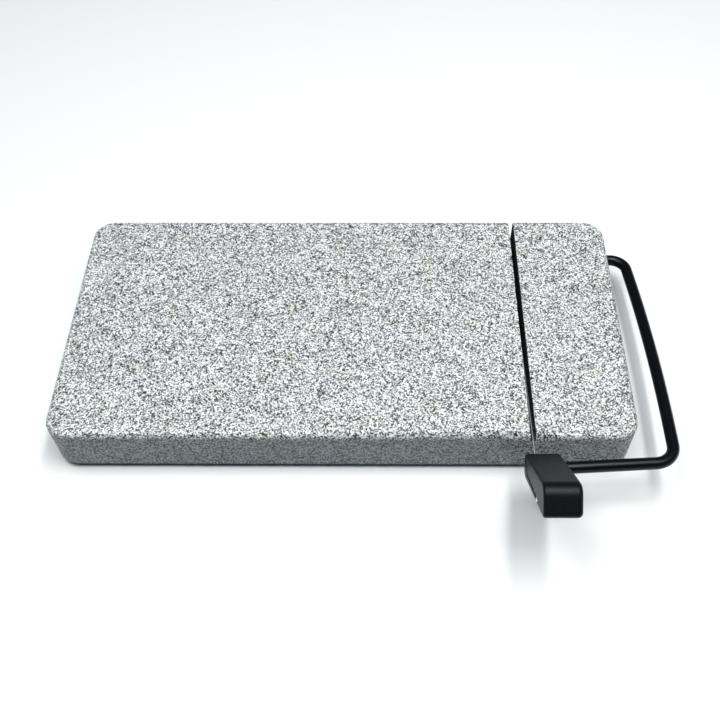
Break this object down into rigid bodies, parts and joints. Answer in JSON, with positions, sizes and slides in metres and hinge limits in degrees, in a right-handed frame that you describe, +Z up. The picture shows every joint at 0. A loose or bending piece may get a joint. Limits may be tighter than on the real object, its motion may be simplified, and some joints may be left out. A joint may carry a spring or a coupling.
{
  "type": "wire cheese slicer board",
  "caption": "Rounded stone board with a sawn cross slot and a hinged bent-rod arm that swings a taut cutting wire into the slot by a raised handle.",
  "frame": {"origin": "middle of the whole footprint (board, arm and handle, arm lowered) on the table plane under the feet", "axes": "+X to the right along the board's length, towards the arm; +Y to the back, away from the handle; +Z up"},
  "size_m": [0.2702, 0.176, 0.0569],
  "materials": {
    "granite": "polished",
    "black_steel": "satin",
    "handle_plastic": "fine texture",
    "wire_steel": "drawn",
    "end_steel": "bright",
    "foot_rubber": "matte"
  },
  "bodies": {
    "board": {"granite_slab": "granite", "foot_front_left": "foot_rubber", "foot_front_right": "foot_rubber", "foot_back_left": "foot_rubber", "foot_back_right": "foot_rubber"},
    "arm": {"arm_rod": "black_steel", "handle_body": "handle_plastic", "cutting_wire": "wire_steel", "wire_ferrule": "end_steel", "wire_nipple": "end_steel"}
  },
  "joints": [
    {"name": "arm_pivot", "type": "hinge", "parent": "board", "child": "arm", "pos_m": [0.07326, 0.07245, 0.0145], "axis": [-1, 0, 0], "range_deg": [0, 168]}
  ]
}
